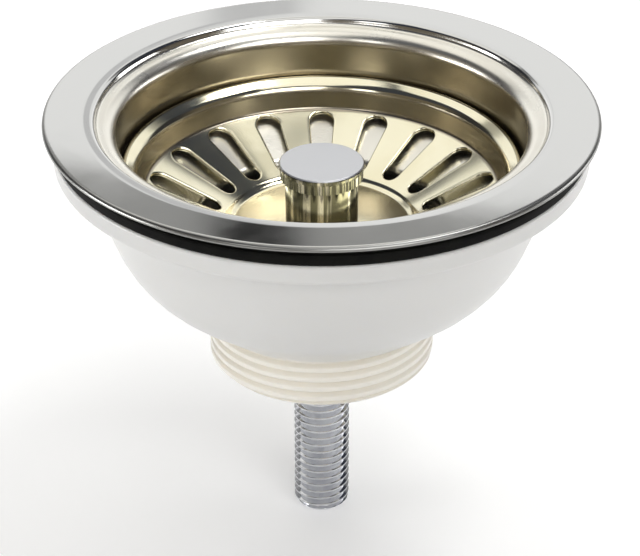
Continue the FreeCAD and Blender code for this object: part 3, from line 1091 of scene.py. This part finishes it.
@dataclass
class FlangeAssembly:
    """Flange and dish, with the washers under the flange and at the bolt's hole."""

    fit: FitSizes
    gauge: float = 1.0 * MM
    edge_round: float = 0.3 * MM
    rim_round: float = 0.8 * MM
    brow_radius: float = 48.8 * MM
    brow_round: float = 12.0 * MM
    brow_drop: float = 0.17 * MM
    flat_radius: float = 46.6 * MM
    lip_radius: float = 46.0 * MM
    step_drop: float = 1.7 * MM
    step_round: float = 1.05 * MM
    lip_fall: float = 0.3 * MM
    lip_round: float = 3.0 * MM
    fold_round: float = 3.0 * MM
    shoulder_round: float = 2.0 * MM
    sump_radius: float = 26.0 * MM
    sump_round: float = 0.8 * MM
    seat_height: float = -30.5 * MM
    basin_radius: float = 21.0 * MM
    basin_lip_round: float = 1.4 * MM
    basin_round: float = 1.5 * MM
    bolt_hole_radius: float = 6.2 * MM
    slots: int = 6
    slot: KidneySlot = KidneySlot(outer_radius=18.6 * MM, inner_radius=13.2 * MM, half_span=math.radians(16.67))
    slot_leg: int = 9
    slot_edge: float = 0.25 * MM
    slot_steps: int = 20
    seal_inner: float = 51.6 * MM
    seal_round: float = 0.4 * MM

    def build_dish(self) -> Piece:
        """Build a sector of the pressing, with one of the drain's slots.

        Returns:
            The sector.
        """
        low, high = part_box("flange_dish")
        basin_floor = low.z + self.gauge
        lip_top = high.z - self.step_drop
        fit = self.fit
        sheet = PressedSheet([
            Corner(high.x - self.rim_round, high.z),
            Corner(self.brow_radius, high.z, self.brow_round),
            Corner(self.flat_radius, high.z - self.brow_drop, self.step_round),
            Corner(self.lip_radius, lip_top, self.step_round),
            Corner(fit.dish_radius, lip_top - self.lip_fall, self.lip_round),
            Corner(fit.dish_radius, fit.dish_height(fit.dish_radius), self.fold_round),
            Corner(self.sump_radius, fit.dish_height(self.sump_radius), self.shoulder_round),
            Corner(self.sump_radius, self.seat_height, self.sump_round),
            Corner(self.basin_radius, self.seat_height, self.basin_lip_round),
            Corner(self.basin_radius, basin_floor, self.basin_round),
            Corner(self.bolt_hole_radius + self.edge_round, basin_floor),
        ], self.gauge, self.slots, self.slot, self.slot_leg, self.slot_edge, self.rim_round, self.edge_round,
            self.slot_steps)
        return sheet.sector("flange_and_dish")

    def dress(self, shop: Workshop) -> None:
        """Build the pieces, give them their finishes and tie them to the flange.

        Args:
            shop: The materials and the node trees.
        """
        dish = shop.shape(shop.ring_array, self.build_dish(), DISH_STEEL, count=self.slots, first_angle=0.0)
        shop.finish(dish, DISH_STEEL, "flange", "flange_dish")
        shop.washer("flange_washer", RUBBER, "flange", "flange_seal", self.seal_inner, self.seal_round)
        shop.washer("hole_washer", RUBBER, "flange", "bolt_seal", self.bolt_hole_radius, self.edge_round)


@dataclass
class DrainAssembly:
    """Moulded body with its gasket, outlet, hub and ribs."""

    gasket_inner: float = 48.8 * MM
    gasket_round: float = 0.7 * MM
    rim_height: float = 4.3 * MM
    rim_upper_round: float = 0.6 * MM
    rim_lower_round: float = 1.2 * MM
    neck_radius: float = 49.6 * MM
    neck_round: float = 1.0 * MM
    knee_radius: float = 41.1 * MM
    knee_height: float = -31.7 * MM
    knee_round: float = 27.0 * MM
    foot_radius: float = 25.9 * MM
    foot_height: float = -43.4 * MM
    foot_round: float = 0.9 * MM
    foot_rows: int = 4
    wall: float = 2.6 * MM
    outlet_radius: float = 23.9 * MM
    outlet_wall: float = 3.6 * MM
    outlet_chamfer: float = 1.2 * MM
    chamfer_rows: int = 12
    thread_pitch: float = 2.309 * MM
    thread_depth: float = 1.35 * MM
    thread_crest: float = 0.38
    thread_root: float = 0.06
    thread_rows: int = 96
    hub_radius: float = 11.54 * MM
    hub_top: float = -42.0 * MM
    hub_recess: float = 0.8 * MM
    pocket_half_width: float = 8.0 * MM
    pocket_top: float = -44.0 * MM
    shaft_radius: float = 6.2 * MM
    hub_round: float = 0.6 * MM
    ribs: int = 4
    rib_thickness: float = 2.6 * MM
    rib_top: float = -45.0 * MM
    rib_end: float = -54.0 * MM
    rib_root: float = 0.6 * MM
    rib_round: float = 0.4 * MM

    def build_bowl(self) -> Piece:
        """Build the rim, the bowl and the plain outlet.

        Returns:
            The piece.
        """
        low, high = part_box("drain_body")
        rim_low = high.z - self.rim_height
        bore = self.outlet_radius - self.outlet_wall
        knee = Vector((self.knee_radius, self.knee_height))
        before = (knee - Vector((self.neck_radius, rim_low))).normalized()
        after = (Vector((self.foot_radius, self.foot_height)) - knee).normalized()
        inside = knee - (left_of(before) + left_of(after)) * self.wall / (1 + before.dot(after))
        mouth = inside.x - before.x / before.y * (inside.y - high.z)
        foot = inside.y + after.y / after.x * (bore - inside.x)
        return turned_piece("drain_bowl", [
            Corner(mouth, high.z),
            Corner(high.x, high.z, self.rim_upper_round),
            Corner(high.x, rim_low, self.rim_lower_round),
            Corner(self.neck_radius, rim_low, self.neck_round),
            Corner(self.knee_radius, self.knee_height, self.knee_round),
            Corner(self.foot_radius, self.foot_height, self.foot_round),
            Corner(self.outlet_radius, self.foot_height, steps=self.foot_rows),
            Corner(self.outlet_radius, self.foot_height - self.foot_round, steps=self.thread_rows),
            Corner(self.outlet_radius, low.z + self.outlet_chamfer, steps=self.chamfer_rows),
            Corner(self.outlet_radius - self.outlet_chamfer, low.z),
            Corner(bore, low.z),
            Corner(bore, foot),
            Corner(inside.x, inside.y, self.knee_round - self.wall),
        ])

    def build_hub(self) -> Piece:
        """Build the hub with its hexagonal pocket.

        Returns:
            The piece.
        """
        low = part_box("drain_body")[0].z + self.hub_recess
        return turned_piece("drain_hub", [
            Corner(self.shaft_radius, self.hub_top),
            Corner(self.hub_radius, self.hub_top, self.hub_round),
            Corner(self.hub_radius, low, self.hub_round),
            Corner(self.pocket_half_width, low, flats=True),
            Corner(self.pocket_half_width, self.pocket_top, flats=True),
            Corner(self.shaft_radius, self.pocket_top),
        ], HEX_SEGMENTS)

    def build_rib(self) -> Piece:
        """Build one rib between the hub and the outlet.

        Returns:
            The rib.
        """
        half = self.rib_thickness / 2
        end = self.outlet_radius - self.outlet_wall + self.rib_root
        return box_piece("drain_ribs", (self.hub_radius - self.rib_root, -half, self.rib_end),
                         (end, half, self.rib_top), self.rib_round)

    def dress(self, shop: Workshop) -> None:
        """Build the pieces, give them their finishes and tie them to the body.

        Args:
            shop: The materials and the node trees.
        """
        bowl = shop.shape(
            shop.rounded_ridges, self.build_bowl(), PLASTIC, starts=1.0, turns_per_metre=1 / self.thread_pitch,
            crest_radius=self.outlet_radius, depth=self.thread_depth, crest_share=self.thread_crest,
            root_share=self.thread_root, low=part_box("drain_body")[0].z - self.thread_pitch, high=self.foot_height,
            fade=self.thread_pitch / 4, core_radius=self.outlet_radius - self.outlet_wall / 2)
        shop.finish(bowl, PLASTIC, "drain", "drain_body")
        shop.finish(self.build_hub(), PLASTIC, "drain")
        ribs = shop.shape(shop.ring_array, self.build_rib(), PLASTIC, count=self.ribs, first_angle=0.0)
        shop.finish(ribs, PLASTIC, "drain")
        shop.washer("rim_gasket", RUBBER, "drain", "body_gasket", self.gasket_inner, self.gasket_round)
        shop.finish_solid("thread_insert", BRASS)


@dataclass
class BoltAssembly:
    """Hollow bolt with its slotted head, its long threaded stud and its washer."""

    radius: float = 6.0 * MM
    head_height: float = 3.2 * MM
    head_round: float = 0.7 * MM
    slot_width: float = 2.2 * MM
    slot_depth: float = 1.3 * MM
    bore_radius: float = 3.8 * MM
    bore_round: float = 0.2 * MM
    bore_wall: float = 0.1 * MM
    bore_end: float = -49.0 * MM
    end_chamfer: float = 1.9 * MM
    end_round: float = 0.3 * MM
    end_rows: int = 24
    pitch: float = 1.75 * MM
    thread_depth: float = 1.05 * MM
    flat_share: float = 1 / 6
    rows_per_turn: int = 6
    washer_inner: float = 6.2 * MM
    washer_round: float = 0.2 * MM
    washer_clear: float = 10 * MICRON

    def build_stud(self) -> Piece:
        """Build the plain hollow stud below the head.

        Returns:
            The piece.
        """
        low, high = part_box("clamp_bolt")
        under_head = high.z - self.head_height
        return turned_piece("bolt_stud", [
            Corner(self.bore_radius, under_head),
            Corner(self.radius, under_head, steps=self.rows_per_turn, climb=self.pitch),
            Corner(self.radius, low.z + self.end_chamfer, steps=self.end_rows),
            Corner(self.radius - self.end_chamfer, low.z, self.end_round),
            Corner(0.0, low.z),
            Corner(0.0, self.bore_end - self.bore_radius),
            Corner(self.bore_radius, self.bore_end),
        ], SMALL_SEGMENTS)

    def build_head(self) -> Piece:
        """Build the head, and cut its slot.

        Returns:
            The piece.
        """
        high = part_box("clamp_bolt")[1]
        under_head = high.z - self.head_height
        head = turned_piece("bolt_head", [
            Corner(self.bore_radius, under_head),
            Corner(high.x, under_head),
            Corner(high.x, high.z, self.head_round),
            Corner(self.bore_radius, high.z, self.bore_round),
        ], SMALL_SEGMENTS)
        smooth_finish(head)
        reach, half, floor = high.x + self.slot_width, self.slot_width / 2, high.z - self.slot_depth
        cutter = box_piece("head_slot", (-reach, -half, floor), (reach, half, floor + self.head_height))
        cut = head.modifiers.new("slot", "BOOLEAN")
        cut.object = cutter
        cut.operation = "DIFFERENCE"
        apply_modifier(head, cut)
        bpy.data.objects.remove(cutter)
        return head

    def dress(self, shop: Workshop) -> None:
        """Build the pieces, give them their finishes and tie them to the bolt.

        Args:
            shop: The materials and the node trees.
        """
        low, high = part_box("clamp_bolt")
        stud = shop.shape(
            shop.straight_ridges, self.build_stud(), ZINC, starts=1.0, turns_per_metre=1 / self.pitch,
            crest_radius=self.radius, depth=self.thread_depth, crest_share=self.flat_share,
            root_share=self.flat_share, low=low.z, high=high.z - self.head_height - self.pitch, fade=self.pitch / 2,
            core_radius=self.bore_radius + self.bore_wall)
        shop.finish(stud, ZINC, "bolt", "clamp_bolt")
        shop.finish(self.build_head(), ZINC, "bolt")
        shop.washer("head_washer", ZINC, "bolt", "bolt_washer", self.washer_inner, self.washer_round,
                    self.washer_clear)


@dataclass
class BasketAssembly:
    """Slotted basket with its knob, stopper and peg."""

    fit: FitSizes
    rim_skirt: float = 1.9 * MM
    rim_peak: float = 0.95 * MM
    rim_fall: float = 2.2 * MM
    rim_round: float = 0.85 * MM
    mouth_radius: float = 37.9 * MM
    mouth_round: float = 2.7 * MM
    fold_round: float = 1.0 * MM
    ring_round: float = 2.2 * MM
    floor_radius: float = 19.2 * MM
    stud_hole_radius: float = 2.7 * MM
    edge_round: float = 0.25 * MM
    slots: int = 18
    slot: TaperedSlot = TaperedSlot(outer_radius=36.55 * MM, inner_radius=21.6 * MM, outer_width=5.2 * MM,
                                    inner_width=3.6 * MM)
    slot_leg: int = 3
    slot_edge: float = 0.3 * MM
    first_slot: float = math.pi / 2
    collar_radius: float = 8.65 * MM
    collar_height: float = 2.3 * MM
    collar_rows: int = 12
    disc_bevel: float = 0.35 * MM
    disc_round: float = 0.15 * MM
    bevel_round: float = 0.1 * MM
    flutes: int = 36
    flute_depth: float = 0.16 * MM
    flute_crest: float = 0.15
    flute_root: float = 0.1
    flute_stop: float = 0.02 * MM
    flute_fade: float = 0.05 * MM
    stem_hole_radius: float = 2.55 * MM
    stem_round: float = 0.3 * MM
    stopper_neck_radius: float = 17.5 * MM
    stopper_neck_round: float = 1.0 * MM
    stopper_web: float = 2.5 * MM
    stopper_brow_drop: float = 1.8 * MM
    stopper_foot_radius: float = 22.7 * MM
    stopper_foot_round: float = 0.4 * MM
    stopper_round: float = 0.7 * MM
    plate_round: float = 0.3 * MM
    nut_half_width: float = 5.5 * MM
    nut_height: float = 3.0 * MM
    nut_chamfer: float = 0.5 * MM
    peg_radius: float = 3.4 * MM
    peg_tip_round: float = 1.6 * MM
    groove_radius: float = 2.2 * MM
    groove_half_height: float = 0.85 * MM
    ring_fullness: float = 0.99

    def build_cup(self) -> Piece:
        """Build a sector of the pressed cup, with one of its slots.

        Returns:
            The sector.
        """
        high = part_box("basket_cup")[1]
        peak = high.z + self.rim_peak
        fit = self.fit
        sheet = PressedSheet([
            Corner(high.x, high.z - self.rim_skirt + self.edge_round),
            Corner(high.x, peak, self.rim_round),
            Corner(self.mouth_radius, peak - self.rim_fall, self.mouth_round),
            Corner(fit.fold_radius, fit.fold_height, self.fold_round),
            Corner(fit.ring_radius, fit.ring_height, self.ring_round),
            Corner(self.floor_radius, fit.floor_height, self.ring_round),
            Corner(self.stud_hole_radius + self.edge_round, fit.floor_height),
        ], fit.basket_gauge, self.slots, self.slot, self.slot_leg, self.slot_edge, self.edge_round, self.edge_round)
        return sheet.sector("basket")

    def build_cap(self) -> Piece:
        """Build the knob's disc and its plain collar.

        Returns:
            The piece.
        """
        low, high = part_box("knob_cap")
        collar_top = low.z + self.collar_height
        return turned_piece("knob_top", [
            Corner(0.0, high.z),
            Corner(0.0, low.z),
            Corner(self.collar_radius, low.z, steps=self.collar_rows),
            Corner(self.collar_radius, collar_top),
            Corner(high.x, collar_top, self.disc_round),
            Corner(high.x, high.z - self.disc_bevel, self.bevel_round),
            Corner(high.x - self.disc_bevel, high.z, self.disc_round),
        ])

    def build_post(self) -> Piece:
        """Build the knob's smooth post.

        Returns:
            The piece.
        """
        low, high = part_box("knob_post")
        return turned_piece("knob_stem", [
            Corner(self.stem_hole_radius, low.z), Corner(high.x, low.z, self.stem_round),
            Corner(high.x, high.z), Corner(self.stem_hole_radius, high.z)])

    def build_stopper(self) -> Piece:
        """Build the rubber stopper with its web, brow and foot.

        Returns:
            The piece.
        """
        low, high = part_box("stopper_seal")
        return turned_piece("stopper", [
            Corner(self.stem_hole_radius, high.z - self.stopper_web),
            Corner(self.stopper_neck_radius, high.z - self.stopper_web, self.stopper_neck_round),
            Corner(self.stopper_foot_radius, low.z, self.stopper_foot_round),
            Corner(high.x, low.z, self.stopper_round),
            Corner(high.x, high.z - self.stopper_brow_drop, self.stopper_round),
            Corner(self.stopper_neck_radius, high.z, self.stopper_neck_round),
            Corner(self.stem_hole_radius, high.z),
        ])

    def build_nut(self) -> Piece:
        """Build the peg's hexagonal nut, chamfered below.

        Returns:
            The piece.
        """
        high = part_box("stem_peg")[1].z
        low = high - self.nut_height
        return turned_piece("peg_nut", [
            Corner(self.stem_hole_radius, high),
            Corner(self.nut_half_width, high, flats=True),
            Corner(self.nut_half_width, low + self.nut_chamfer, flats=True),
            Corner(self.nut_half_width, low),
            Corner(self.stem_hole_radius, low),
        ], HEX_SEGMENTS)

    def build_peg(self) -> Piece:
        """Build the peg below the nut, with the groove for its ring.

        Returns:
            The piece.
        """
        low, high = (corner.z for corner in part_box("stem_peg"))
        nut_low = high - self.nut_height
        middle = sum(corner.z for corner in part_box("catch_o_ring")) / 2
        return turned_piece("peg", [
            Corner(0.0, nut_low),
            Corner(0.0, low),
            Corner(self.peg_radius, low, self.peg_tip_round),
            Corner(self.peg_radius, middle - self.groove_half_height),
            Corner(self.groove_radius, middle - self.groove_half_height),
            Corner(self.groove_radius, middle + self.groove_half_height),
            Corner(self.peg_radius, middle + self.groove_half_height),
            Corner(self.peg_radius, nut_low),
        ], SMALL_SEGMENTS)

    def build_ring(self) -> Piece:
        """Build the rubber ring on the peg.

        Returns:
            The piece.
        """
        low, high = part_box("catch_o_ring")
        inner = high.x - (high.z - low.z)
        rounding = (high.z - low.z) / 2 * self.ring_fullness
        spots = ((inner, low.z), (high.x, low.z), (high.x, high.z), (inner, high.z))
        return turned_piece("peg_ring", [Corner(*spot, rounding) for spot in spots], SMALL_SEGMENTS)

    def dress(self, shop: Workshop) -> None:
        """Build the pieces, give them their finishes and tie them to the basket.

        Args:
            shop: The materials and the node trees.
        """
        cup = shop.shape(shop.ring_array, self.build_cup(), BASKET_STEEL, count=self.slots,
                         first_angle=self.first_slot)
        shop.finish(cup, BASKET_STEEL, "basket", "basket_cup")
        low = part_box("knob_cap")[0].z
        cap = shop.shape(
            shop.rounded_ridges, self.build_cap(), KNOB_STEEL, starts=float(self.flutes), turns_per_metre=0.0,
            crest_radius=self.collar_radius, depth=self.flute_depth, crest_share=self.flute_crest,
            root_share=self.flute_root, low=low - self.collar_height,
            high=low + self.collar_height - self.flute_stop, fade=self.flute_fade,
            core_radius=self.collar_radius - self.flute_depth)
        shop.finish(cap, KNOB_STEEL, "basket", "knob_cap")
        shop.finish(self.build_post(), KNOB_STEEL, "basket", "knob_post")
        shop.finish(self.build_stopper(), RUBBER, "basket", "stopper_seal")
        shop.washer("stopper_plate", ZINC, "basket", "seal_plate", self.stem_hole_radius, self.plate_round)
        shop.finish(self.build_peg(), BRASS, "basket", "stem_peg")
        shop.finish(self.build_nut(), BRASS, "basket")
        shop.finish(self.build_ring(), RUBBER, "catch", "catch_o_ring")
        shop.finish_solid("knob_stud", ZINC)


@dataclass(frozen=True)
class Softbox:
    """A soft oblong studio lamp, aimed at the strainer."""

    name: str
    place: Vector
    width: float
    height: float
    watts: float
    colour: Colour = (1.0, 1.0, 1.0)
    roll: float = 0.0

    def light(self, target: Vector) -> None:
        """Set up the lamp.

        Args:
            target: What it is aimed at.
        """
        data = bpy.data.lights.new(self.name, "AREA")
        data.shape = "RECTANGLE"
        data.size, data.size_y = self.width, self.height
        data.energy = self.watts
        data.color = self.colour
        lamp = new_object(self.name, data)
        lamp.location = self.place
        turn = (target - self.place).to_track_quat("-Z", "Y") @ Quaternion((0.0, 0.0, 1.0), self.roll)
        lamp.rotation_euler = turn.to_euler()
        lamp.visible_camera = False


@dataclass
class Studio:
    """Floor, soft light and the camera at the photograph's angle."""

    target: Vector = field(default_factory=lambda: Vector((0.0, 0.0, -38.52 * MM)))
    camera_place: Vector = field(default_factory=lambda: Vector((0.0, -452.9 * MM, 225.6 * MM)))
    sensor: float = 36.0
    lens: float = 138.93
    shift_x: float = -0.00266
    floor_size: float = 6.0
    floor_colour: Colour = (0.90, 0.90, 0.90)
    floor_span: Span = (-0.1, 0.25)
    floor_glow: Span = (0.17, 0.5)
    backdrop_colour: Colour = (0.58, 0.58, 0.57)
    wall_colour: Colour = (0.38, 0.38, 0.37)
    screen_colour: Colour = (0.02, 0.02, 0.02)
    room_colour: Colour = (0.14, 0.12, 0.09)
    ceiling_colour: Colour = (0.04, 0.045, 0.06)
    side_colour: Colour = (0.03, 0.03, 0.035)
    wall_span: Span = (0.28, 0.32)
    screen_left: Span = (-0.046, -0.042)
    screen_right: Span = (-0.004, -0.014)
    side_span: Span = (0.55, 0.70)
    room_span: Span = (0.25, -0.25)
    ceiling_span: Span = (0.56, 0.64)
    card: Softbox = Softbox("white_card", Vector((0.0, 0.18, 0.0715)), 0.3, 0.09, 0.057, roll=math.radians(-6.7))
    softboxes: tuple[Softbox, ...] = (
        Softbox("back_softbox", Vector((-0.28, 0.67, 1.114)), 1.3, 0.845, 3.5, (1.0, 0.98, 0.92)),
        Softbox("top_softbox", Vector((0.08, -0.21, 1.15)), 0.75, 0.95, 2.4, (1.0, 0.98, 0.93)),
        Softbox("key_softbox", Vector((0.46, 0.09, 1.06)), 0.40, 0.40, 3.6),
        Softbox("front_softbox", Vector((0.40, -1.05, 0.65)), 0.8, 0.6, 6.0),
        Softbox("glint_softbox", Vector((-0.55, -1.05, 0.65)), 0.35, 0.30, 1.0),
        Softbox("spark_softbox", Vector((0.8, -0.75, 0.5)), 0.2, 0.25, 0.6),
        Softbox("left_softbox", Vector((-0.9, -0.1, -0.02)), 0.5, 0.4, 5.2),
        Softbox("right_softbox", Vector((0.9, 0.3, -0.02)), 0.5, 0.4, 2.2),
    )

    def set_camera(self) -> None:
        """Set up the camera."""
        data = bpy.data.cameras.new("camera")
        data.sensor_width = self.sensor
        data.lens = self.lens
        data.shift_x = self.shift_x
        camera = new_object("camera", data)
        camera.location = self.camera_place
        camera.rotation_euler = (self.target - self.camera_place).to_track_quat("-Z", "Y").to_euler()
        bpy.context.scene.camera = camera

    def set_floor(self) -> None:
        """Lay the pale floor under the bolt's end, with painted light: it glows for camera, mirror and refracted
        rays, more towards the back.
        """
        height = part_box("clamp_bolt")[0].z
        half = self.floor_size / 2
        mesh = bpy.data.meshes.new("floor")
        mesh.from_pydata([(-half, -half, height), (half, -half, height), (half, half, height), (-half, half, height)],
                         [], [(0, 1, 2, 3)])
        floor = new_object("floor", mesh)
        paint = bpy.data.materials.new("floor_paper")
        sketch = NodeSketch.afresh(paint)
        paper = sketch.node("ShaderNodeBsdfDiffuse", {"Color": (*self.floor_colour, 1.0)}).outputs[0]
        depth = sketch.axes(sketch.place())["Y"]
        # Painted light: the floor's glow grows from front to back.
        glow = sketch.ramp(depth, *self.floor_span, *self.floor_glow)
        path = sketch.node("ShaderNodeLightPath").outputs
        mirrored = sketch.math("MAXIMUM", path["Is Glossy Ray"], path["Is Transmission Ray"])
        seen = sketch.math("MAXIMUM", path["Is Camera Ray"], mirrored)
        lift = sketch.node("ShaderNodeEmission", {"Strength": sketch.math("MULTIPLY", glow, seen)}).outputs[0]
        both = sketch.node("ShaderNodeAddShader", {0: paper, 1: lift}).outputs[0]
        sketch.node("ShaderNodeOutputMaterial", {"Surface": both})
        mesh.materials.append(paint)

    def set_world(self) -> None:
        """Fill the room with soft light: a backdrop and a wall behind the strainer, darker sides and ceiling."""
        world = bpy.data.worlds.new("studio")
        bpy.context.scene.world = world
        sketch = NodeSketch.afresh(world)
        axes = sketch.axes(sketch.node("ShaderNodeTexCoord").outputs["Generated"])
        screen = sketch.math("MULTIPLY", sketch.ramp(axes["X"], *self.screen_left),
                             sketch.ramp(axes["X"], *self.screen_right))
        wall = sketch.mix(screen, self.wall_colour, self.screen_colour)
        colour = self.backdrop_colour
        for along, span, other in ((axes["Z"], self.wall_span, wall),
                                   (sketch.math("ABSOLUTE", axes["X"]), self.side_span, self.side_colour),
                                   (axes["Y"], self.room_span, self.room_colour),
                                   (axes["Z"], self.ceiling_span, self.ceiling_colour)):
            colour = sketch.mix(sketch.ramp(along, *span), colour, other)
        light = sketch.node("ShaderNodeBackground", {"Color": colour}).outputs[0]
        sketch.node("ShaderNodeOutputWorld", {"Surface": light})

    def set_up(self) -> None:
        """Set up the whole studio."""
        bpy.context.scene.view_settings.view_transform = "Standard"
        self.set_camera()
        self.set_floor()
        self.set_world()
        for softbox in self.softboxes:
            softbox.light(self.target)
        self.card.light(Vector((0.0, 0.0, self.card.place.z)))


def main() -> None:
    """Build the strainer's pieces in order."""
    logging.basicConfig(level=logging.INFO, format="%(name)s: %(message)s")
    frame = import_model()
    Studio().set_up()
    shop = Workshop(frame["nodes"])
    fit = FitSizes()
    for assembly in (FlangeAssembly(fit), DrainAssembly(), BoltAssembly(), BasketAssembly(fit)):
        assembly.dress(shop)


if __name__ == "__main__":
    main()
